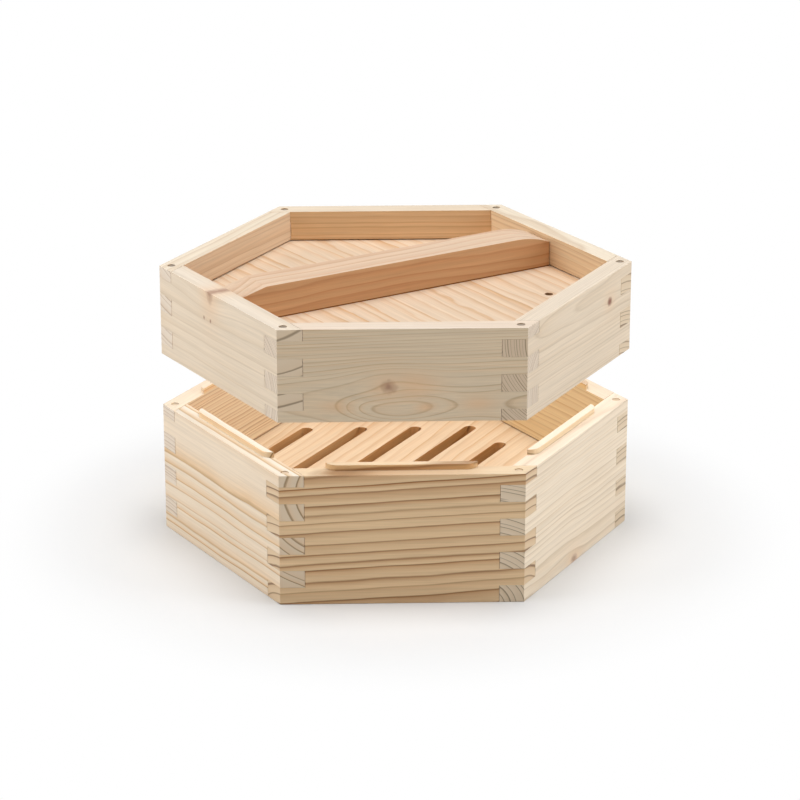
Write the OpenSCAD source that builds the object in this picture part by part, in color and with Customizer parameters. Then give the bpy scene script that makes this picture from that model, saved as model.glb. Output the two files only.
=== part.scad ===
// Hexagonal timber beehive: a deep box with a slotted board inside it, and a
// shallow lid with a grip bar that lifts straight off the box.
// The origin is under the middle of the box. +X runs along the slots, +Z is up.
// The lid is drawn lifted off. It comes down by lid_lift to sit on the box.

/* [Plan] */
// Outer side of the hexagon, which is also the radius of its corners
side = 204; // [170:1:260]
// Thickness of the wall boards
wall_t = 18; // [16:1:22]

/* [Corner joints] */
// Height of a full finger
finger_h = 15; // [12:1:18]
// Height of the short finger at the end of a corner
short_finger_h = 10; // [6:1:12]
// Full fingers below the short one at each corner of the box
box_fingers = 7; // [5:2:9]
// Full fingers between the two short ones at each corner of the lid
lid_fingers = 4; // [2:2:6]
// Diameter of the dowel that pins each corner
dowel_d = 7; // [5:0.5:7]
// Distance from the hive's axis to each dowel
dowel_r = 193.6; // [192.5:0.1:194.5]
// How far the dowels stop short of the top and bottom of their walls
dowel_sink = 0.8; // [0:0.2:2]
// Gap between a finger and the shoulder that it meets
shoulder_gap = 0.4; // [0:0.1:0.6]

/* [Lid] */
// Height of the lifted lid's underside above the box's rim
lid_lift = 47; // [0:1:120]
// Depth of the tray above the lid's panel
tray_depth = 27.5; // [20:0.5:32]
// Thickness of the lid's panel
panel_t = 12; // [10:1:15]
// Diameter of the vent hole in the lid's panel
vent_d = 7.5; // [6:0.5:10]
// Place of the vent hole on the lid's panel
vent_at = [62, -117]; // [-140:1:140]

/* [Grip bar] */
// Width of the grip bar
bar_w = 35; // [28:1:40]
// Distance from the hive's axis to the bar's nearer edge, towards the vent hole
bar_edge = 3.5; // [0:0.5:10]
// How far the bar's middle stands above the lid's rim
bar_proud = 2; // [0:0.5:4]
// Length of the rounded slope at the bar's right end
bar_round_l = 34; // [24:1:44]
// Length of the straight slope at the bar's left end
bar_straight_l = 28; // [20:1:44]
// Drop of both slopes where the bar meets the walls
bar_slope_drop = 7; // [3:0.5:10]
// Screws that hold the bar to the panel from below
bar_screws_n = 3; // [2:1:4]

/* [Slotted board] */
// Depth of the slotted board's top below the box's rim
board_depth = 72; // [50:1:75]
// Thickness of the slotted board
board_t = 15; // [12:1:18]
// Slots on each side of the middle one
side_slots = 3; // [1:1:3]
// Width of each slot
slot_w = 11.5; // [8:0.5:13]
// Distance between the slots' centre lines
slot_pitch = 43.5; // [36:0.5:44]
// Corner radius of the hexagon that the slots' round ends lie on
slot_hex_r = 149; // [140:1:155]

/* [Locating lips] */
// Height of the lip on top of each box wall
lip_h = 5; // [3:0.5:6]
// Distance from a wall's outer face to its lip
lip_set = 11; // [10:0.5:12]
// Length of the straight outer face of a lip
lip_l = 106; // [80:1:120]
// Radius of the lip's ends
lip_end_r = 11; // [8:1:14]
// Clearance between a lip and its rebate in the lid, sideways and above
lip_gap = 0.6; // [0.4:0.1:1]

/* [Hidden] */
$fn = 48;
EPS = 0.01;
OVER = 5;                           // how far a cutter runs past what it cuts
SIDES = ["front", "front_right", "back_right", "back", "back_left", "front_left"];
function names(stem) = [for (s = SIDES) str(stem, s)];
function numbers(stem) = [for (i = [1:6]) str(stem, i)];
BOX_WALLS = names("box_wall_");
LID_WALLS = names("lid_wall_");
BOX_DOWELS = numbers("box_dowel_");
LID_DOWELS = numbers("lid_dowel_");

// plan
apothem = side * cos(30);           // axis to a wall's outer face
inner_apothem = apothem - wall_t;
flare = wall_t / tan(60);           // how far a board's end leans along its length
seat = wall_t / sin(60);            // width of a finger's end grain on its neighbour

// heights
box_h = short_finger_h + box_fingers * finger_h;
lid_h = 2 * short_finger_h + lid_fingers * finger_h;
lid_z = box_h + lid_lift;
rim_z = lid_z + lid_h;
panel_z = rim_z - tray_depth - panel_t;
board_z = box_h - board_depth - board_t;

// panels held in grooves
groove = 5;
groove_gap = 0.5;                   // between a panel's edge and the bottom of its groove
groove_play = 0.8;                  // between a panel's top and the groove

// grip bar, in its own frame: its length along X, its near edge at y = 0
bar_angle = -30;
bar_end_gap = 0.6;                  // between each end of the bar and its wall
bar_half_l = inner_apothem - bar_end_gap;
bar_h = tray_depth + bar_proud;
slope_r = (pow(bar_round_l, 2) + pow(bar_slope_drop, 2)) / (2 * bar_slope_drop);
screw_l = 35;
screw_d = 4;
screw_head_d = 8;
screw_head_h = 2.6;
screw_tip_d = 0.4;
screw_sink = 0.4;                   // how far the heads lie inside the panel's underside
screw_pitch = 110;
recess_l = 4;                       // cross recess in each head
recess_w = 1;
recess_depth = 1.4;

// --- shapes shared by several pieces ---------------------------------------

// hexagon with corners on X, given the distance from its middle to a side
module hexagon(to_side) {
    circle(r = to_side / cos(30), $fn = 6);
}

// plan of a wall board with both its ends flush with its neighbours' faces;
// the outer face is on y = 0 and the inner face on y = wall_t
module board_plan() {
    polygon([[-side / 2, 0], [side / 2, 0],
             [side / 2 + flare, wall_t], [-side / 2 - flare, wall_t]]);
}

// plan of what is cut from the right end of a board to let a neighbour's finger in
module notch_plan() {
    lean = OVER / tan(60);
    near = side / 2 - seat - shoulder_gap;
    polygon([[near - lean, -OVER], [side / 2 + OVER, -OVER],
             [side / 2 + flare + 2 * OVER, wall_t + OVER],
             [near + flare + lean, wall_t + OVER]]);
}

// a board of height h with fingers at both ends, counted down from its top:
// the neighbour on the left has the even ones, this board has them on the right
module fingered_board(h, finger_count) {
    difference() {
        linear_extrude(h) board_plan();
        for (k = [0:finger_count - 1]) {
            above = k == 0 ? 0 : short_finger_h + (k - 1) * finger_h;
            full = k == 0 ? short_finger_h : finger_h;
            top = k == 0 ? h + OVER : h - above;
            bottom = max(h - above - full, 0);
            reach = bottom == 0 ? OVER : 0;
            translate([0, 0, bottom - reach])
                mirror([k % 2 == 0 ? 1 : 0, 0, 0])
                    linear_extrude(top - bottom + reach) notch_plan();
        }
    }
}

// plan of a locating lip, grown outwards by grow and inwards to y = back
module lip_plan(grow, back) {
    intersection() {
        translate([-side / 2, lip_set - grow]) square([side, back - lip_set + grow]);
        union() {
            translate([-lip_l / 2, lip_set - grow]) square([lip_l, 2 * lip_end_r]);
            for (s = [-1, 1])
                translate([s * lip_l / 2, lip_set + lip_end_r]) circle(r = lip_end_r + grow);
        }
    }
}

// puts a wall drawn with its outer face on y = 0 on side i of the hexagon
module on_side(i) {
    rotate([0, 0, 60 * i]) translate([0, -apothem, 0]) children();
}

// the groove round all six walls for a panel of thickness t whose underside is at z
module groove_cut(z, t) {
    translate([0, 0, z]) linear_extrude(t + groove_play) hexagon(inner_apothem + groove);
}

// the holes for the dowels at the two ends of wall i
module dowel_holes(i, h) {
    for (c = [i - 2, i - 1])
        rotate([0, 0, 60 * c]) translate([dowel_r, 0, -OVER])
            cylinder(d = dowel_d, h = h + 2 * OVER);
}

module dowel(i, h) {
    rotate([0, 0, 60 * i]) translate([dowel_r, 0, dowel_sink])
        cylinder(d = dowel_d, h = h - 2 * dowel_sink);
}

// --- box --------------------------------------------------------------------

module box_wall(i) color("burlywood") {
    difference() {
        on_side(i) {
            fingered_board(box_h, box_fingers + 1);
            translate([0, 0, box_h - EPS])
                linear_extrude(lip_h + EPS) lip_plan(0, wall_t);
        }
        dowel_holes(i, box_h);
        groove_cut(board_z, board_t);
    }
}

module box_dowel(i) color("wheat") {
    dowel(i, box_h);
}

// a slot along X with round ends on a hexagon of corner radius slot_hex_r
module slot(y) {
    half = slot_hex_r - abs(y) / sqrt(3) - slot_w / 2;
    translate([0, y, board_z - OVER]) {
        translate([-half, -slot_w / 2, 0]) cube([2 * half, slot_w, board_t + 2 * OVER]);
        for (s = [-1, 1])
            translate([s * half, 0, 0]) cylinder(d = slot_w, h = board_t + 2 * OVER);
    }
}

module slotted_board() color("peachpuff") {
    difference() {
        translate([0, 0, board_z])
            linear_extrude(board_t) hexagon(inner_apothem + groove - groove_gap);
        for (k = [-side_slots:side_slots]) slot(k * slot_pitch);
    }
}

// --- lid, drawn at its lifted height ----------------------------------------

module lid_wall(i) color("burlywood") {
    difference() {
        translate([0, 0, lid_z]) on_side(i) difference() {
            fingered_board(lid_h, lid_fingers + 2);
            translate([0, 0, -OVER])
                linear_extrude(lip_h + lip_gap + OVER) lip_plan(lip_gap, wall_t + OVER);
        }
        translate([0, 0, lid_z]) dowel_holes(i, lid_h);
        groove_cut(panel_z, panel_t);
    }
}

module lid_dowel(i) color("wheat") {
    translate([0, 0, lid_z]) dowel(i, lid_h);
}

// a countersunk wood screw standing on its head, whose face is on z = 0
module wood_screw() {
    cylinder(d1 = screw_head_d, d2 = screw_d, h = screw_head_h);
    cylinder(d = screw_d, h = screw_l - screw_d);
    translate([0, 0, screw_l - screw_d]) cylinder(d1 = screw_d, d2 = screw_tip_d, h = screw_d);
}

// puts its children at each screw, with the head's face just inside the panel
module at_bar_screws() {
    for (k = [0:bar_screws_n - 1])
        rotate([0, 0, bar_angle])
            translate([(k - (bar_screws_n - 1) / 2) * screw_pitch, bar_w / 2 - bar_edge,
                       panel_z + screw_sink])
                children();
}

module screw_holes() {
    at_bar_screws() {
        wood_screw();
        translate([0, 0, -OVER]) cylinder(d = screw_head_d, h = OVER);
    }
}

module lid_panel() color("peachpuff") {
    difference() {
        translate([0, 0, panel_z])
            linear_extrude(panel_t) hexagon(inner_apothem + groove - groove_gap);
        translate([vent_at[0], vent_at[1], panel_z - OVER])
            cylinder(d = vent_d, h = panel_t + 2 * OVER);
        screw_holes();
    }
}

// what is cut from the bar's right end: all that stands above the rounded slope
module round_slope_cutter() {
    difference() {
        translate([bar_half_l - bar_round_l, -OVER, bar_h - bar_slope_drop - OVER])
            cube([bar_round_l + OVER, bar_w + 2 * OVER, bar_slope_drop + 2 * OVER]);
        translate([bar_half_l - bar_round_l, -2 * OVER, bar_h - slope_r])
            rotate([-90, 0, 0]) cylinder(r = slope_r, h = bar_w + 4 * OVER, $fn = 180);
    }
}

// what is cut from the bar's left end: all that stands above the straight slope
module straight_slope_cutter() {
    slant = bar_slope_drop / bar_straight_l;
    translate([-bar_half_l, bar_w + OVER, bar_h])
        rotate([90, 0, 0]) linear_extrude(bar_w + 2 * OVER)
            polygon([[bar_straight_l, 0], [bar_straight_l, OVER], [-OVER, OVER],
                     [-OVER, -bar_slope_drop - OVER * slant]]);
}

module grip_bar() color("sandybrown") {
    difference() {
        rotate([0, 0, bar_angle]) translate([0, -bar_edge, panel_z + panel_t])
            difference() {
                translate([-bar_half_l, 0, 0]) cube([2 * bar_half_l, bar_w, bar_h]);
                round_slope_cutter();
                straight_slope_cutter();
            }
        screw_holes();
    }
}

module cross_recess() {
    for (a = [0, 90])
        rotate([0, 0, a]) translate([-recess_l / 2, -recess_w / 2, -OVER])
            cube([recess_l, recess_w, recess_depth + OVER]);
}

module bar_screws() color("silver") {
    at_bar_screws() difference() {
        wood_screw();
        cross_recess();
    }
}

for (i = [0:5]) {
    box_wall(i);
    box_dowel(i);
    lid_wall(i);
    lid_dowel(i);
}
slotted_board();
lid_panel();
grip_bar();
bar_screws();
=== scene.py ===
"""Looks of the hexagonal pine beehive: timber, light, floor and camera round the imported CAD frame."""

import math
from dataclasses import dataclass

import bpy
from mathutils import Matrix, Vector


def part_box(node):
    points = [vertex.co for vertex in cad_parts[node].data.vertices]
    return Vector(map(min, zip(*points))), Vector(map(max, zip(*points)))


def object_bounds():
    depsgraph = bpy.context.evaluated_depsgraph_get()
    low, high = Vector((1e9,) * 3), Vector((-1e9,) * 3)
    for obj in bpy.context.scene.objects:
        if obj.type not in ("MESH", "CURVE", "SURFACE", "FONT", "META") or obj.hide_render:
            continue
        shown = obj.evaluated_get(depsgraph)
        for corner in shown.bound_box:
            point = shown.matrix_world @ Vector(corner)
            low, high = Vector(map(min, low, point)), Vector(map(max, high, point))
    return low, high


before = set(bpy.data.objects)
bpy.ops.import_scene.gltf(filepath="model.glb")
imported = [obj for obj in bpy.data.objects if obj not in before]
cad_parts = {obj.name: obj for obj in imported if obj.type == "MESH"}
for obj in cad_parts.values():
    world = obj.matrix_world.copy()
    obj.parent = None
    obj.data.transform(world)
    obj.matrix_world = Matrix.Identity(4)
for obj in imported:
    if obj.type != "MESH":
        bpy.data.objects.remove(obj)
cad_low, cad_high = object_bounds()

# The hive is a hexagon with two corners on X, and its side is as long as its corner radius.
CORNER_R = (cad_high.x - cad_low.x) / 2
APOTHEM = CORNER_R * math.cos(math.radians(30))
SIDES = ["front", "front_right", "back_right", "back", "back_left", "front_left"]
SIDE_TURN = 360 / len(SIDES)
UP = Vector((0, 0, 1))


def from_bearing(azimuth, elevation, distance):
    """A point seen from the axis at azimuth, counted from -Y towards +X, and elevation, in degrees."""
    a, e = math.radians(azimuth), math.radians(elevation)
    flat = distance * math.cos(e)
    return Vector((flat * math.sin(a), -flat * math.cos(a), distance * math.sin(e)))


def plan_direction(degrees):
    """The level direction that many degrees from +X towards +Y."""
    a = math.radians(degrees)
    return Vector((math.cos(a), math.sin(a), 0))


def aim(thing, target):
    thing.rotation_euler = (target - thing.location).to_track_quat("-Z", "Y").to_euler()


def add_to_scene(name, data):
    thing = bpy.data.objects.new(name, data)
    bpy.context.scene.collection.objects.link(thing)
    return thing


# --- camera -------------------------------------------------------------------

CAMERA_AZIMUTH = -61.7
CAMERA_ELEVATION = 20.0
CAMERA_DISTANCE = 13.31 * CORNER_R
CAMERA_AIM_HEIGHT = 0.571 * CORNER_R
CAMERA_LENS = 139.3
CAMERA_SHIFT_X = 0.005
CAMERA_REACH = 50


def make_camera():
    camera = add_to_scene("camera", bpy.data.cameras.new("camera"))
    camera.data.lens = CAMERA_LENS
    camera.data.shift_x = CAMERA_SHIFT_X
    camera.data.clip_end = CAMERA_REACH
    target = UP * CAMERA_AIM_HEIGHT
    camera.location = target + from_bearing(CAMERA_AZIMUTH, CAMERA_ELEVATION, CAMERA_DISTANCE)
    aim(camera, target)
    bpy.context.scene.camera = camera


# --- node trees ---------------------------------------------------------------

# A Mix node's colour sockets share their names with its other sockets, so they go by number.
MIX_SHARE, MIX_A, MIX_B, MIX_RESULT = 0, 6, 7, 2


class Tree:
    """Short ways to add nodes to a shader tree. A value is a number, a colour or another node's output."""

    def __init__(self, tree):
        self.tree = tree

    def put(self, value, socket):
        if isinstance(value, bpy.types.NodeSocket):
            self.tree.links.new(value, socket)
        else:
            socket.default_value = value

    def node(self, kind, inputs=None, **settings):
        made = self.tree.nodes.new(kind)
        for name, value in settings.items():
            setattr(made, name, value)
        for name, value in (inputs or {}).items():
            self.put(value, made.inputs[name])
        return made

    def group(self, tree, inputs):
        return self.node("ShaderNodeGroup", inputs, node_tree=tree).outputs

    def math(self, operation, *values, clamp=False):
        made = self.node("ShaderNodeMath", dict(enumerate(values)), operation=operation, use_clamp=clamp)
        return made.outputs[0]

    def vector(self, operation, *values):
        return self.node("ShaderNodeVectorMath", dict(enumerate(values)), operation=operation).outputs

    def scaled(self, vector, x, y, z):
        return self.vector("MULTIPLY", vector, (x, y, z))[0]

    def split(self, vector):
        return self.node("ShaderNodeSeparateXYZ", {0: vector}).outputs

    def joined(self, x, y, z):
        return self.node("ShaderNodeCombineXYZ", {0: x, 1: y, 2: z}).outputs[0]

    def noise(self, vector, detail=2.0, roughness=0.5):
        inputs = {"Vector": vector, "Scale": 1.0, "Detail": detail, "Roughness": roughness}
        return self.node("ShaderNodeTexNoise", inputs).outputs

    def centred(self, noise):
        """A noise, moved so that its middle is at 0."""
        return self.math("SUBTRACT", noise, 0.5)

    def span(self, value, low, high, new_low=0.0, new_high=1.0, smooth=True):
        """Turns the span from low to high into the one from new_low to new_high, and stops at its ends."""
        kind = "SMOOTHSTEP" if smooth else "LINEAR"
        inputs = {0: value, 1: low, 2: high, 3: new_low, 4: new_high}
        return self.node("ShaderNodeMapRange", inputs, interpolation_type=kind).outputs[0]

    def ramp(self, value, stops):
        """A line through stops, which are (place, level) pairs."""
        made = self.node("ShaderNodeValToRGB", {0: value})
        points = made.color_ramp.elements
        while len(points) < len(stops):
            points.new(1.0)
        for point, (place, level) in zip(points, stops):
            point.position = place
            point.color = (level, level, level, 1)
        return made.outputs[0]

    def mix(self, share, a, b, blend="MIX"):
        inputs = {MIX_SHARE: share, MIX_A: a, MIX_B: b}
        return self.node("ShaderNodeMix", inputs, data_type="RGBA", blend_type=blend).outputs[MIX_RESULT]

    def bump(self, height, strength, distance):
        inputs = {"Height": height, "Strength": strength, "Distance": distance}
        return self.node("ShaderNodeBump", inputs).outputs[0]

    def show(self, shader, output="ShaderNodeOutputMaterial"):
        self.put(shader.outputs[0], self.node(output).inputs[0])

    def surface(self, colour, roughness, normal):
        """Ends the tree in a principled shader, and returns the shader for its own constants."""
        inputs = {"Base Color": colour, "Roughness": roughness, "Normal": normal}
        shader = self.node("ShaderNodeBsdfPrincipled", inputs)
        self.show(shader)
        return shader


def new_group(name, inputs, outputs):
    """A node group. inputs and outputs are (name, kind) pairs, kind being Float, Vector or Color."""
    group = bpy.data.node_groups.new(name, "ShaderNodeTree")
    for direction, sockets in (("INPUT", inputs), ("OUTPUT", outputs)):
        for socket, kind in sockets:
            group.interface.new_socket(socket, in_out=direction, socket_type="NodeSocket" + kind)
    tree = Tree(group)
    return tree, tree.node("NodeGroupInput").outputs, tree.node("NodeGroupOutput").inputs


def emptied_tree(owner):
    """The node tree of a material or a world, with nothing in it yet."""
    owner.use_nodes = True
    owner.node_tree.nodes.clear()
    return Tree(owner.node_tree)


# --- growth rings -------------------------------------------------------------

# share of summer wood, and of the dark line that ends it, from the start of a year's ring to its end
SUMMER_PROFILE = [(0.0, 0.3), (0.05, 0.0), (0.35, 0.05), (0.7, 0.4), (0.9, 0.85), (0.96, 1.0), (1.0, 0.3)]
LINE_PROFILE = [(0.0, 0.4), (0.05, 0.0), (0.82, 0.0), (0.95, 1.0), (1.0, 0.4)]
WEAKEST_YEAR = 0.45

# spots of each noise in a metre along the grain, and in a metre across it
WANDER_SPOTS = (6, 9)
RIPPLE_SPOTS = (20, 45)
FIBRE_SPOTS = (7, 420)
PORE_SPOTS = (40, 1700)
STREAK_SPOTS = (2.5, 60)
PATCH_SPOTS = (10, 22)
# spots in a year of the noise that makes years wide or narrow, and how many years it moves the rings by
UNEVEN_SPOTS = 0.45
UNEVEN_YEARS = 1.6

# how much streaks and patches change the share of summer wood, and fibres and pores the brightness
STREAK_SHARE = 0.35
PATCH_SHARE = 0.30
FIBRE_SHARE = 0.34
PORE_SHARE = 0.18
# how high summer wood stands above spring wood, where a fibre is 1 high
SUMMER_HEIGHT = 0.5

# share of its own colour in a cut end, and what its rings add to that: summer wood and broad dark lines
END_SHARE = 0.6
END_SUMMER = 0.5
END_LINE_POWER = 0.6
END_SATURATION = 0.9
END_SHADE = 0.34


def make_growth_group():
    """Growth rings round a pith that runs along local X, cut by whatever face shows them."""
    t, given, out = new_group(
        "growth",
        [("Place", "Vector"), ("Pith depth", "Float"), ("Pith height", "Float"), ("Lean in", "Float"),
         ("Lean up", "Float"), ("Ring", "Float"), ("Wave", "Float"), ("Ripple", "Float"),
         ("Contrast", "Float"), ("Mottle", "Float"), ("Line", "Float"), ("Seed", "Float"),
         ("Early", "Color"), ("Late", "Color"), ("Cut end", "Color"), ("End line", "Float"),
         ("End grain", "Float")],
        [("Color", "Color"), ("Summer", "Float"), ("Height", "Float")],
    )
    seeded = t.joined(given["Seed"], given["Seed"], 0.0)
    place = t.split(given["Place"])
    # a centred noise goes only half a unit each way
    wave = t.math("MULTIPLY", given["Wave"], 2.0)

    def noise_at(spots, **settings):
        along, across = spots
        moved = t.vector("ADD", t.scaled(given["Place"], along, across, across), seeded)
        return t.noise(moved[0], **settings)

    def off_pith(coordinate, pith, lean, wandering):
        """Distance from the pith along one coordinate, where the pith leans and wanders along the board."""
        distance = t.math("SUBTRACT", coordinate, given[pith])
        distance = t.math("SUBTRACT", distance, t.math("MULTIPLY", given[lean], place[0]))
        return t.math("MULTIPLY_ADD", t.centred(wandering), wave, distance)

    wander = t.split(noise_at(WANDER_SPOTS)["Color"])
    depth = off_pith(place[1], "Pith depth", "Lean in", wander[0])
    height = off_pith(place[2], "Pith height", "Lean up", wander[1])
    radius = t.math("SQRT", t.math("ADD", t.math("POWER", depth, 2), t.math("POWER", height, 2)))
    year = t.math("DIVIDE", radius, given["Ring"])

    # some years are wide and some are narrow, and some end in a darker line than others
    uneven = t.node("ShaderNodeTexNoise", {"W": t.math("ADD", year, given["Seed"]), "Scale": UNEVEN_SPOTS},
                    noise_dimensions="1D").outputs["Fac"]
    year = t.math("MULTIPLY_ADD", uneven, UNEVEN_YEARS, year)
    year = t.math("MULTIPLY_ADD", noise_at(RIPPLE_SPOTS, detail=2.5)["Fac"], given["Ripple"], year)
    within = t.math("FRACT", year)
    strength = t.node("ShaderNodeTexWhiteNoise", {"W": t.math("FLOOR", year)}, noise_dimensions="1D")
    strength = t.span(strength.outputs["Value"], 0, 1, WEAKEST_YEAR, 1.0, smooth=False)
    summer = t.math("MULTIPLY", t.ramp(within, SUMMER_PROFILE), strength)
    line = t.math("MULTIPLY", t.ramp(within, LINE_PROFILE), strength)

    fibres = noise_at(FIBRE_SPOTS, detail=3.0, roughness=0.6)["Fac"]
    pores = noise_at(PORE_SPOTS)["Fac"]
    streaks = noise_at(STREAK_SPOTS)["Fac"]
    patches = noise_at(PATCH_SPOTS, detail=1.5)["Fac"]

    mottle = t.math("ADD", t.math("MULTIPLY", t.centred(streaks), STREAK_SHARE),
                    t.math("MULTIPLY", t.centred(patches), PATCH_SHARE))
    share = t.math("MULTIPLY", summer, given["Contrast"])
    share = t.math("MULTIPLY_ADD", mottle, given["Mottle"], share, clamp=True)
    wood = t.mix(share, given["Early"], given["Late"])
    value = t.math("MULTIPLY_ADD", t.centred(fibres), FIBRE_SHARE, 1.0)
    value = t.math("MULTIPLY_ADD", t.centred(pores), PORE_SHARE, value)
    value = t.math("SUBTRACT", value, t.math("MULTIPLY", line, given["Line"]))
    wood = t.node("ShaderNodeHueSaturation", {"Color": wood, "Value": value}).outputs[0]

    # a cut end is nearer to its own colour, and shows its rings as dark lines
    ends = t.mix(END_SHARE, given["Early"], given["Cut end"])
    ends = t.mix(t.math("MULTIPLY", summer, END_SUMMER), ends, given["Late"])
    dark = {"Color": given["Late"], "Saturation": END_SATURATION, "Value": END_SHADE}
    dark = t.node("ShaderNodeHueSaturation", dark).outputs[0]
    broad_line = t.math("MULTIPLY", t.math("POWER", line, END_LINE_POWER), given["End line"])
    ends = t.mix(broad_line, ends, dark)
    t.put(t.mix(given["End grain"], wood, ends), out["Color"])
    t.put(summer, out["Summer"])
    t.put(t.math("MULTIPLY_ADD", summer, SUMMER_HEIGHT, fibres), out["Height"])
    return t.tree


# --- knots --------------------------------------------------------------------

KNOT_COLOUR = (0.28, 0.125, 0.08, 1)
AMBER_COLOUR = (0.80, 0.47, 0.24, 1)

# how far the grain parts across the board, as a share of how far it parts along it
REACH_ACROSS = 0.45
# spots in a metre of the noise that makes a knot ragged, and how ragged it is, in knot radii
KNOT_SPOTS = 140
KNOT_RAGGED = 0.9
# a knot's own rings: radians in a knot radius, how dark they are and how much that varies
KNOT_RING_RATE = 9.0
KNOT_RING_TONE = 0.72
KNOT_RING_DEPTH = 0.1
# where a knot's core fades in, in knot radii, and how fast the glow round it fades out
KNOT_FADE = (1.15, 0.25)
GLOW_FADE = 0.22


def make_knot_group():
    """A knot runs through the board. It stains the wood, and the grain swells and parts round it."""
    t, given, out = new_group(
        "knot",
        [("Place", "Vector"), ("Centre", "Vector"), ("Radius", "Float"), ("Width", "Float"),
         ("Reach", "Float"), ("Parting", "Float"), ("Swelling", "Float"), ("Strength", "Float"),
         ("Glow", "Float"), ("Stain", "Float"), ("Amber", "Float")],
        [("Place", "Vector"), ("Stain", "Float"), ("Amber", "Float")],
    )
    shaken = t.noise(t.scaled(given["Place"], KNOT_SPOTS, KNOT_SPOTS, KNOT_SPOTS), detail=1.5)["Fac"]
    apart = t.split(t.vector("SUBTRACT", given["Place"], given["Centre"])[0])

    def far(along, across):
        """Square of the distance from the knot, counted in steps of along and across on the board."""
        x, z = t.math("DIVIDE", apart[0], along), t.math("DIVIDE", apart[2], across)
        return t.math("ADD", t.math("POWER", x, 2), t.math("POWER", z, 2))

    def hump(square):
        return t.math("EXPONENT", t.math("MULTIPLY", square, -1.0))

    bend = hump(far(given["Reach"], t.math("MULTIPLY", given["Reach"], REACH_ACROSS)))
    parted = t.math("MULTIPLY", t.math("MULTIPLY", apart[2], bend), given["Parting"])
    swollen = t.math("MULTIPLY", t.math("MULTIPLY", bend, given["Swelling"]), -1.0)
    t.put(t.vector("SUBTRACT", given["Place"], t.joined(0.0, swollen, parted))[0], out["Place"])

    square = far(t.math("MULTIPLY", given["Radius"], given["Width"]), given["Radius"])
    away = t.math("MULTIPLY_ADD", t.centred(shaken), KNOT_RAGGED, t.math("SQRT", square))
    rings = t.math("SINE", t.math("MULTIPLY", away, KNOT_RING_RATE))
    rings = t.math("MULTIPLY_ADD", rings, KNOT_RING_DEPTH, KNOT_RING_TONE)
    core = t.math("MULTIPLY", t.span(away, *KNOT_FADE), rings)
    t.put(t.math("MAXIMUM", t.math("MULTIPLY", core, given["Strength"]), given["Stain"]), out["Stain"])
    around = t.math("MULTIPLY", hump(t.math("MULTIPLY", square, GLOW_FADE)), given["Glow"])
    t.put(t.math("MAXIMUM", around, given["Amber"]), out["Amber"])
    return t.tree


# --- boards -------------------------------------------------------------------

GROWTH = make_growth_group()
KNOT = make_knot_group()

# colours of spring and summer wood
CREAM = (0.80, 0.67, 0.50, 1)
PALE = (0.77, 0.64, 0.49, 1)
FAIR = (0.84, 0.70, 0.54, 1)
HONEY = (0.58, 0.36, 0.18, 1)
STRAW = (0.62, 0.43, 0.24, 1)
RUST = (0.55, 0.30, 0.14, 1)

# colours of cut ends
TAN = (0.69, 0.54, 0.375, 1)
WHITISH = (0.76, 0.66, 0.57, 1)
BROWNISH = (0.58, 0.43, 0.29, 1)

# what the wood's colour is multiplied by: painted shade and warm bounce light on a wall's inner side,
# painted light on its rim's upward faces, and warm painted light on the upright sides of its lip
INSIDE_SHADE = (0.98, 0.83, 0.68, 1)
RIM_LIGHT = (0.97, 1.01, 1.08, 1)
LIP_LIGHT = (1.08, 1.00, 0.86, 1)


@dataclass
class Knot:
    """A knot in a board's outer face, in metres from the board's middle and its lower edge.

    strength is how dark its core is, and glow how orange the wood is round it. It is width times as long as
    it is high. Out to reach along the board, the grain goes round it by the share parting, and swells
    towards the outer face by swelling.
    """

    x: float
    height: float
    radius: float
    strength: float = 0.0
    glow: float = 0.0
    width: float = 1.0
    reach: float = 0.001
    parting: float = 0.78
    swelling: float = 0.0


@dataclass
class Timber:
    """How one board was cut from its tree, in metres, and how its wood looks.

    pith is (depth from the outer face, height above the lower edge), and lean is how far it moves in depth
    and in height for each metre along the board. ring is how wide a year is. contrast is how far summer wood
    goes from the early colour to the late one, and line how dark a year's end is. The pith wanders by wave,
    the rings ripple by ripple years, and mottle is how patchy the wood is. inside is the painted shade and
    bounce light that its colour is multiplied by on its inner side, or on the edges of a board that lies
    flat, and rim the painted light that it is multiplied by on the rim's upward faces. cut_end is the colour
    of its ends, and end_line how dark their ring lines are.
    """

    pith: tuple
    ring: float
    contrast: float
    early: tuple
    late: tuple
    seed: float
    line: float = 0.1
    lean: tuple = (0.0, 0.0)
    wave: float = 0.004
    ripple: float = 0.25
    mottle: float = 1.0
    inside: tuple = INSIDE_SHADE
    rim: tuple = RIM_LIGHT
    cut_end: tuple = TAN
    end_line: float = 0.95
    knots: tuple = ()


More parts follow.
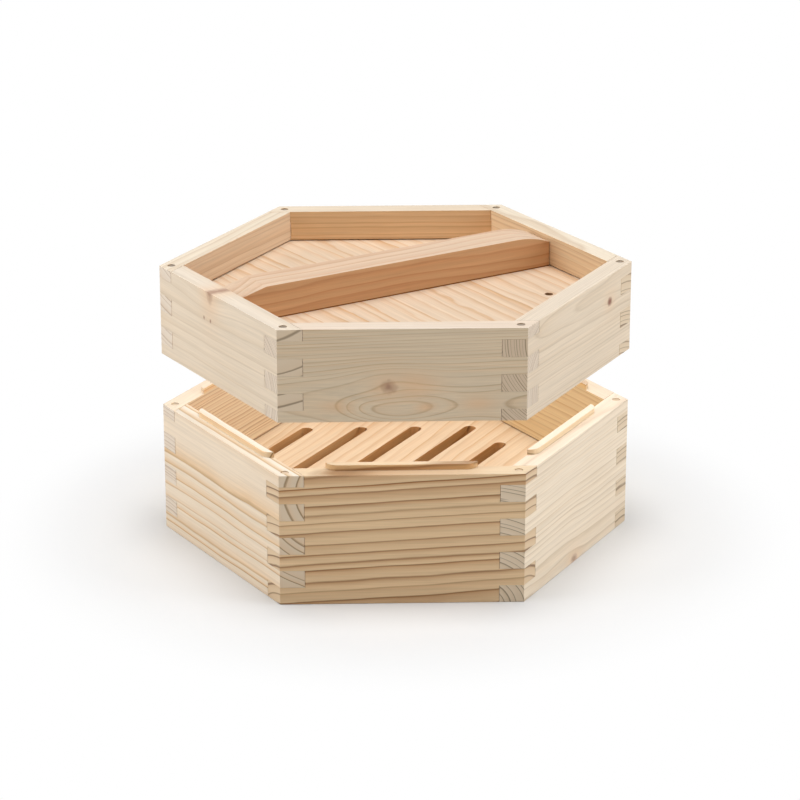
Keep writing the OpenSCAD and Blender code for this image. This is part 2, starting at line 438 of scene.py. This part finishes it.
BOX_TIMBER = {
    "front_left": Timber(
        pith=(-0.004, -0.020), lean=(0.0, 0.06), ring=0.0086, contrast=1.0, early=(0.80, 0.57, 0.335, 1),
        late=(0.44, 0.18, 0.05, 1), line=0.42, wave=0.003, ripple=0.2, rim=(0.88, 1.02, 1.22, 1), seed=1.7),
    "back_left": Timber(
        pith=(0.052, 0.098), ring=0.0070, contrast=1.0, early=FAIR, late=(0.74, 0.43, 0.16, 1), line=0.34,
        mottle=0.25, rim=(0.90, 1.01, 1.14, 1), seed=4.1),
    "front": Timber(
        pith=(0.036, -0.008), ring=0.0045, contrast=0.48, early=(0.87, 0.74, 0.58, 1), late=STRAW, line=0.13,
        wave=0.006, ripple=0.3, seed=7.9,
        knots=(Knot(-0.004, 0.003, 0.0048, strength=0.70, glow=0.3, width=1.5, reach=0.02),)),
    "front_right": Timber(
        pith=(0.010, -0.060), ring=0.0060, contrast=0.70, early=CREAM, late=HONEY, line=0.14,
        inside=(0.95, 0.92, 0.75, 1), seed=11.3),
    "back_right": Timber(
        pith=(0.030, 0.150), ring=0.0050, contrast=0.55, early=CREAM, late=HONEY, seed=14.2),
    "back": Timber(
        pith=(0.002, -0.090), ring=0.0034, contrast=1.0, early=CREAM, late=RUST, line=0.32, wave=0.003,
        inside=(1.05, 1.07, 1.04, 1), cut_end=WHITISH, end_line=0.4, seed=17.6),
}
LID_TIMBER = {
    "front_left": Timber(
        pith=(0.060, 0.015), lean=(-0.03, 0.0), ring=0.0019, contrast=0.55, early=(0.70, 0.565, 0.40, 1),
        late=(0.68, 0.42, 0.20, 1), line=0.28, wave=0.0010, ripple=0.15, rim=(1.08, 1.15, 1.36, 1),
        cut_end=WHITISH, seed=2.6,
        knots=(Knot(-0.011, 0.030, 0.0068, strength=0.85, glow=0.40, width=1.1, reach=0.035),
               Knot(0.011, 0.031, 0.0045, glow=0.45, width=2.2),
               Knot(0.062, 0.015, 0.0030, glow=0.45, width=2.4),
               Knot(0.019, 0.0145, 0.0022, glow=0.45, width=2.0),
               Knot(-0.055, 0.014, 0.0028, glow=0.35, width=2.4),
               Knot(-0.008, 0.014, 0.0010, reach=0.043, parting=0.0, swelling=0.0057))),
    "back_left": Timber(
        pith=(-0.020, 0.120), ring=0.0110, contrast=0.30, early=PALE, late=STRAW, line=0.08, wave=0.006,
        seed=5.2,
        knots=(Knot(-0.012, 0.082, 0.0125, strength=0.80, glow=0.40, width=0.62, reach=0.04),
               Knot(-0.022, 0.058, 0.0028, strength=1.0, width=0.65),
               Knot(-0.011, 0.0575, 0.0028, strength=1.0, width=0.65))),
    "front": Timber(
        pith=(-0.060, 0.070), lean=(0.016, 0.0), ring=0.0021, contrast=0.40, early=PALE, late=STRAW,
        line=0.15, wave=0.002, ripple=0.2, cut_end=BROWNISH, seed=8.8,
        knots=(Knot(0.058, 0.056, 0.0042, strength=1.6, glow=0.25, width=1.2, reach=0.012),)),
    "front_right": Timber(
        pith=(0.020, -0.050), ring=0.0050, contrast=0.60, early=CREAM, late=HONEY,
        inside=(1.05, 0.95, 0.82, 1), seed=12.4),
    "back_right": Timber(
        pith=(0.006, -0.060), ring=0.0052, contrast=0.70, early=CREAM, late=HONEY, line=0.09, wave=0.003,
        inside=(0.99, 0.80, 0.60, 1), seed=15.1),
    "back": Timber(
        pith=(0.040, 0.140), ring=0.0060, contrast=0.55, early=CREAM, late=HONEY,
        inside=(1.01, 0.93, 0.88, 1), cut_end=WHITISH, end_line=0.4, seed=18.3),
}
# The outer face of a board that lies flat is its upper one, and its inside multiplier is a painted shade on
# its edges, slot walls and bore.
PANEL_TIMBER = Timber(
    pith=(0.030, 0.260), lean=(0.0, 0.03), ring=0.0135, contrast=1.0, early=(0.73, 0.57, 0.42, 1),
    late=(0.63, 0.37, 0.18, 1), line=0.05, wave=0.006, ripple=0.7, inside=(0.60, 0.46, 0.34, 1), seed=21.5)
BOARD_TIMBER = Timber(
    pith=(0.070, -0.150), lean=(0.04, 0.05), ring=0.0095, contrast=0.72, early=(0.71, 0.59, 0.43, 1),
    late=(0.56, 0.34, 0.15, 1), line=0.08, wave=0.008, mottle=1.4, inside=(0.99, 0.75, 0.48, 1), seed=24.9)
BAR_TIMBER = Timber(
    pith=(0.060, 0.050), ring=0.0070, contrast=0.66, early=(0.69, 0.515, 0.37, 1),
    late=(0.54, 0.26, 0.12, 1), line=0.07, inside=(0.95, 0.75, 0.54, 1), seed=27.7)

# cosines of the angle between a face and a direction, where that side's look starts and where it is whole
END_FACING = (0.5, 0.75)
SIDE_FACING = (0.3, 0.7)
UP_FACING = (0.5, 0.8)

# painted shade: the colour and height of a dark line that stands in for the shadow in the gap where a panel
# meets a wall or the bar
SEAM_SHADE_COLOUR = (0.22, 0.07, 0.006, 1)
SEAM_SHADE_H = 0.0008
# how far from the middle of the painted shade line it fades in, as shares of its height
SEAM_SHADE_FADE = (1.1, 0.7)
# how far above the rim the warm painted light on the lip's sides fades in
LIP_LIGHT_FADE = 0.0008
SPRING_ROUGHNESS = 0.66
SUMMER_ROUGHNESS = 0.50
TIMBER_BUMP = 0.6
TIMBER_RELIEF = 0.00012
TIMBER_SPECULAR = 0.3


def timber_material(name, timber, origin, along, depth, flat=False, seam=None, rim=None):
    """Pine in a board's own frame: local X runs along the grain, Y into the board and Z across it.

    The timber's inside multiplier, a painted shade and bounce light, is on the inner side of a wall, and on
    the edges of a board that lies flat. seam is the height of the panel that meets this piece, where a thin
    line of painted shade stands in for the shadow in the gap. rim is the height of a wall's upper edge, whose
    upward faces get painted light, and the upright sides of the lip above the rim get warm painted light.
    """
    material = bpy.data.materials.new(name)
    t = emptied_tree(material)
    turn = Matrix((along, depth, along.cross(depth)))
    where = t.node("ShaderNodeTexCoord").outputs
    mapping = t.node("ShaderNodeMapping", {"Vector": where["Object"], "Location": -(turn @ origin),
                                           "Rotation": turn.to_euler("XYZ")})
    place, stain, amber = mapping.outputs[0], 0.0, 0.0
    for knot in timber.knots:
        shown = t.group(KNOT, {
            "Place": place, "Centre": (knot.x, 0, knot.height), "Radius": knot.radius, "Width": knot.width,
            "Reach": knot.reach, "Parting": knot.parting, "Swelling": knot.swelling,
            "Strength": knot.strength, "Glow": knot.glow, "Stain": stain, "Amber": amber})
        place, stain, amber = shown["Place"], shown["Stain"], shown["Amber"]

    def facing(direction):
        return t.vector("DOT_PRODUCT", where["Normal"], direction)["Value"]

    growth = t.group(GROWTH, {
        "Place": place, "Pith depth": timber.pith[0], "Pith height": timber.pith[1],
        "Lean in": timber.lean[0], "Lean up": timber.lean[1], "Ring": timber.ring, "Wave": timber.wave,
        "Ripple": timber.ripple, "Contrast": timber.contrast, "Mottle": timber.mottle, "Line": timber.line,
        "Seed": timber.seed, "Early": timber.early, "Late": timber.late, "Cut end": timber.cut_end,
        "End line": timber.end_line, "End grain": t.span(t.math("ABSOLUTE", facing(along)), *END_FACING)})
    # painted shade and bounce light: on a wall's inner side, or on a flat board's edges, slot walls and bore
    if flat:
        inside = t.span(t.math("ABSOLUTE", facing(depth)), *reversed(SIDE_FACING))
    else:
        inside = t.span(facing(depth), *SIDE_FACING)
    colour = t.mix(inside, growth["Color"], timber.inside, blend="MULTIPLY")
    colour = t.mix(amber, colour, AMBER_COLOUR)
    colour = t.mix(stain, colour, KNOT_COLOUR)
    height = t.split(where["Object"])[2]
    # painted shade line at the seam, on inner sides and edges only
    if seam is not None:
        away = t.math("ABSOLUTE", t.math("SUBTRACT", height, seam + SEAM_SHADE_H / 2))
        seam_shade = t.span(away, SEAM_SHADE_H * SEAM_SHADE_FADE[0], SEAM_SHADE_H * SEAM_SHADE_FADE[1])
        colour = t.mix(t.math("MULTIPLY", seam_shade, inside), colour, SEAM_SHADE_COLOUR)
    if rim is not None:
        upwards = facing(UP)
        # painted light: the rim's upward faces are multiplied paler
        colour = t.mix(t.span(upwards, *UP_FACING), colour, timber.rim, blend="MULTIPLY")
        # warm painted light on the upright sides of the lip above the rim
        above, upright = t.span(height, rim, rim + LIP_LIGHT_FADE), t.span(upwards, *reversed(UP_FACING))
        colour = t.mix(t.math("MULTIPLY", above, upright), colour, LIP_LIGHT, blend="MULTIPLY")
    roughness = t.span(growth["Summer"], 0, 1, SPRING_ROUGHNESS, SUMMER_ROUGHNESS, smooth=False)
    shader = t.surface(colour, roughness, t.bump(growth["Height"], TIMBER_BUMP, TIMBER_RELIEF))
    shader.inputs["Specular IOR Level"].default_value = TIMBER_SPECULAR
    return material


# --- dowels and screws --------------------------------------------------------

# early wood, late wood, and where the painted shade ring round the end starts, as a share of the dowel's
# radius
PALE_DOWEL = [(0.78, 0.66, 0.50, 1), (0.66, 0.52, 0.36, 1), 0.85]
GREY_DOWEL = [(0.42, 0.35, 0.28, 1), (0.28, 0.22, 0.17, 1), 0.70]
PORE_COLOUR = (0.24, 0.17, 0.11, 1)
# painted shade for the shadow in the gap round a dowel's end
GAP_SHADE_COLOUR = (0.14, 0.09, 0.06, 1)
# growth rings cross a dowel's end as wavy bands
DOWEL_BANDS = 160.0
DOWEL_BAND_WARP = 2.5
# spots of each noise in a metre along X, Y and Z
DOWEL_PORES = (2200, 2200, 300)
TURNING_MARKS = (900, 900, 4000)
STEEL_CLOUDS = (300, 300, 300)
DOWEL_PORE_SHARE = 0.35
DOWEL_ROUGHNESS = 0.8
DOWEL_BUMP = 0.5
DOWEL_RELIEF = 0.0001

DULL_STEEL = (0.44, 0.43, 0.40, 1)
BRIGHT_STEEL = (0.66, 0.65, 0.62, 1)
MARK_LEVELS = (0.2, 0.8)
STEEL_ROUGHNESS = (0.28, 0.5)
STEEL_BUMP = 0.4
STEEL_RELIEF = 0.00005


def dowel_material(name, early, late, gap_shade_start):
    """Cut end of a turned dowel, with a dark ring of painted shade for the shadow in the gap round it, from
    the given share of its radius outwards.
    """
    material = bpy.data.materials.new(name)
    t = emptied_tree(material)
    where = t.node("ShaderNodeTexCoord").outputs
    from_middle = t.vector("SUBTRACT", where["Generated"], (0.5, 0.5, 0.0))[0]
    from_axis = t.vector("LENGTH", t.scaled(from_middle, 2, 2, 0))["Value"]
    bands = {"Vector": t.scaled(where["Object"], 1, 1, 0), "Scale": DOWEL_BANDS,
             "Distortion": DOWEL_BAND_WARP, "Detail": 2.0}
    bands = t.node("ShaderNodeTexWave", bands).outputs["Fac"]
    pores = t.noise(t.scaled(where["Object"], *DOWEL_PORES))["Fac"]
    wood = t.mix(bands, late, early)
    wood = t.mix(t.math("MULTIPLY", pores, DOWEL_PORE_SHARE), wood, PORE_COLOUR)
    # painted shade ring round the edge of the end
    wood = t.mix(t.span(from_axis, gap_shade_start, 1.0), wood, GAP_SHADE_COLOUR)
    t.surface(wood, DOWEL_ROUGHNESS, t.bump(pores, DOWEL_BUMP, DOWEL_RELIEF))
    return material


def screw_material():
    """Zinc-plated steel with fine turning marks and a little dulling."""
    material = bpy.data.materials.new("screw_steel")
    t = emptied_tree(material)
    where = t.node("ShaderNodeTexCoord").outputs
    marks = t.noise(t.scaled(where["Object"], *TURNING_MARKS), detail=3.0)["Fac"]
    clouds = t.noise(t.scaled(where["Object"], *STEEL_CLOUDS))["Fac"]
    steel = t.mix(clouds, DULL_STEEL, BRIGHT_STEEL)
    roughness = t.span(marks, *MARK_LEVELS, *STEEL_ROUGHNESS)
    shader = t.surface(steel, roughness, t.bump(marks, STEEL_BUMP, STEEL_RELIEF))
    shader.inputs["Metallic"].default_value = 1.0
    return material


# --- the hive -----------------------------------------------------------------

# how near two points are to be made one: on the CAD mesh, and after the bevel, which leaves slivers
WELD_REACH = 1e-6
CLOSE_REACH = 4e-6
FLAT_ANGLE = math.radians(0.5)
SHARP_ANGLE = math.radians(35)
EDGE_SEGMENTS = 2

# how far the edges of each kind of piece are sanded off
WALL_EDGE = 0.0004
BOARD_EDGE = 0.0006
PANEL_EDGE = 0.0004
BAR_EDGE = 0.0005
DOWEL_EDGE = 0.0003
SCREW_EDGE = 0.0001

# directions of the grain, in degrees from +X
BOARD_GRAIN = 0
PANEL_GRAIN = 60
BAR_GRAIN = -30

DOWEL_SINK = 0.0008


def finish_edges(node, material, edge):
    """Gives a CAD node its material and takes the sharpness off its edges, as sanding does."""
    node.data.materials.clear()
    node.data.materials.append(material)
    node.modifiers.new("weld", "WELD").merge_threshold = WELD_REACH
    flat = node.modifiers.new("flat", "DECIMATE")
    flat.decimate_type = "DISSOLVE"
    flat.angle_limit = FLAT_ANGLE
    bevel = node.modifiers.new("edges", "BEVEL")
    bevel.width = edge
    bevel.segments = EDGE_SEGMENTS
    bevel.limit_method = "ANGLE"
    bevel.angle_limit = SHARP_ANGLE
    bevel.use_clamp_overlap = True
    node.modifiers.new("close", "WELD").merge_threshold = CLOSE_REACH
    normals = node.modifiers.new("normals", "WEIGHTED_NORMAL")
    normals.keep_sharp = True


def dress_walls(tier, timbers, panel):
    """Walls whose panel lies in a groove, and whose rim is just above the dowels' ends."""
    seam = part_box(panel)[1].z
    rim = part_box(tier + "_dowel_1")[1].z + DOWEL_SINK
    for i, side in enumerate(SIDES):
        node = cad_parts[f"{tier}_wall_{side}"]
        along = plan_direction(SIDE_TURN * i)
        outward = plan_direction(SIDE_TURN * i - 90)
        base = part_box(node.name)[0].z
        origin = outward * APOTHEM + UP * base
        material = timber_material(node.name, timbers[side], origin, along, -outward, seam=seam, rim=rim)
        finish_edges(node, material, WALL_EDGE)


def dress_panel(name, timber, grain, edge, seam=None):
    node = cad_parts[name]
    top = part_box(name)[1].z
    along = plan_direction(grain)
    material = timber_material(name, timber, UP * top, along, -UP, flat=True, seam=seam)
    finish_edges(node, material, edge)


def dress_hive():
    dress_walls("box", BOX_TIMBER, "slotted_board")
    dress_walls("lid", LID_TIMBER, "lid_panel")
    dress_panel("slotted_board", BOARD_TIMBER, BOARD_GRAIN, BOARD_EDGE)
    dress_panel("lid_panel", PANEL_TIMBER, PANEL_GRAIN, PANEL_EDGE)
    dress_panel("grip_bar", BAR_TIMBER, BAR_GRAIN, BAR_EDGE, seam=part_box("lid_panel")[1].z)
    pale_dowel = dowel_material("box_dowel_end", *PALE_DOWEL)
    grey_dowel = dowel_material("lid_dowel_end", *GREY_DOWEL)
    for i in range(1, len(SIDES) + 1):
        finish_edges(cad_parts[f"box_dowel_{i}"], pale_dowel, DOWEL_EDGE)
        finish_edges(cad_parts[f"lid_dowel_{i}"], grey_dowel, DOWEL_EDGE)
    finish_edges(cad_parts["bar_screws"], screw_material(), SCREW_EDGE)


# --- floor and light ----------------------------------------------------------

FLOOR_R = 40.0
FLOOR_SIDES = 64
FLOOR_DROP = 0.0002
LIT_FLOOR_R = 0.21
WHITE_FLOOR_R = 0.36
PAPER = (0.77, 0.775, 0.78, 1)
WHITE = (1, 1, 1, 1)
AMBIENT = 0.05

# name, azimuth, elevation, distance, size, power on the lid, power on the rest
SOFTBOXES = [
    ("top_light", CAMERA_AZIMUTH, 88, 2.4, 2.2, 64, 58),
    ("left_light", CAMERA_AZIMUTH - 80, 20, 2.2, 1.4, 21, 22),
    ("right_light", CAMERA_AZIMUTH + 80, 20, 2.2, 1.4, 19, 22),
    ("back_light", CAMERA_AZIMUTH + 180, 8, 2.2, 1.4, 8, 8),
]


def make_floor():
    """A pale floor that turns to plain white a little way from the hive."""
    mesh = bpy.data.meshes.new("floor")
    ring = [plan_direction(360 * k / FLOOR_SIDES) * FLOOR_R for k in range(FLOOR_SIDES)]
    mesh.from_pydata([tuple(p) for p in ring], [], [tuple(range(FLOOR_SIDES))])
    floor = add_to_scene("floor", mesh)
    floor.location.z = cad_low.z - FLOOR_DROP
    material = bpy.data.materials.new("floor")
    t = emptied_tree(material)
    away = t.vector("LENGTH", t.node("ShaderNodeTexCoord").outputs["Object"])["Value"]
    paper = t.node("ShaderNodeBsdfDiffuse", {"Color": PAPER}).outputs[0]
    white = t.node("ShaderNodeEmission", {"Color": WHITE, "Strength": 1.0}).outputs[0]
    whiteness = t.span(away, LIT_FLOOR_R, WHITE_FLOOR_R)
    t.show(t.node("ShaderNodeMixShader", {0: whiteness, 1: paper, 2: white}))
    mesh.materials.append(material)


def light_group(name, pieces, state):
    """A collection that light linking takes in or leaves out."""
    group = bpy.data.collections.new(name)
    for piece in pieces:
        group.objects.link(piece)
    for member in group.collection_objects:
        member.light_linking.link_state = state
    return group


def softbox(name, azimuth, elevation, distance, size, lid_power, power, lid_nodes):
    """Two lamps in one place: one lights the lid, the other all the rest as if the lid weren't over it."""
    middle = UP * (cad_low.z + cad_high.z) / 2
    for part in ("lid", "rest"):
        light = bpy.data.lights.new(name + "_" + part, "AREA")
        light.shape = "SQUARE"
        light.size = size
        light.energy = lid_power if part == "lid" else power
        lamp = add_to_scene(light.name, light)
        lamp.location = middle + from_bearing(azimuth, elevation, distance)
        aim(lamp, middle)
        if part == "lid":
            lamp.light_linking.receiver_collection = light_group(lamp.name, lid_nodes, "INCLUDE")
        else:
            lamp.light_linking.receiver_collection = light_group(lamp.name, lid_nodes, "EXCLUDE")
            lamp.light_linking.blocker_collection = light_group(lamp.name, lid_nodes, "EXCLUDE")


def on_lid(name):
    return name.startswith("lid_") or name in ("grip_bar", "bar_screws")


def make_light():
    """Soft boxes all round, and a world that is dim as a light but white to look at."""
    world = bpy.data.worlds.new("studio")
    bpy.context.scene.world = world
    t = emptied_tree(world)
    seen = t.node("ShaderNodeLightPath").outputs["Is Camera Ray"]
    strength = t.span(seen, 0, 1, AMBIENT, 1.0, smooth=False)
    sky = t.node("ShaderNodeBackground", {"Color": WHITE, "Strength": strength})
    t.show(sky, "ShaderNodeOutputWorld")
    lid_nodes = [node for name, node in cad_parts.items() if on_lid(name)]
    for box in SOFTBOXES:
        softbox(*box, lid_nodes)
    bpy.context.scene.view_settings.view_transform = "Standard"


make_camera()
dress_hive()
make_floor()
make_light()
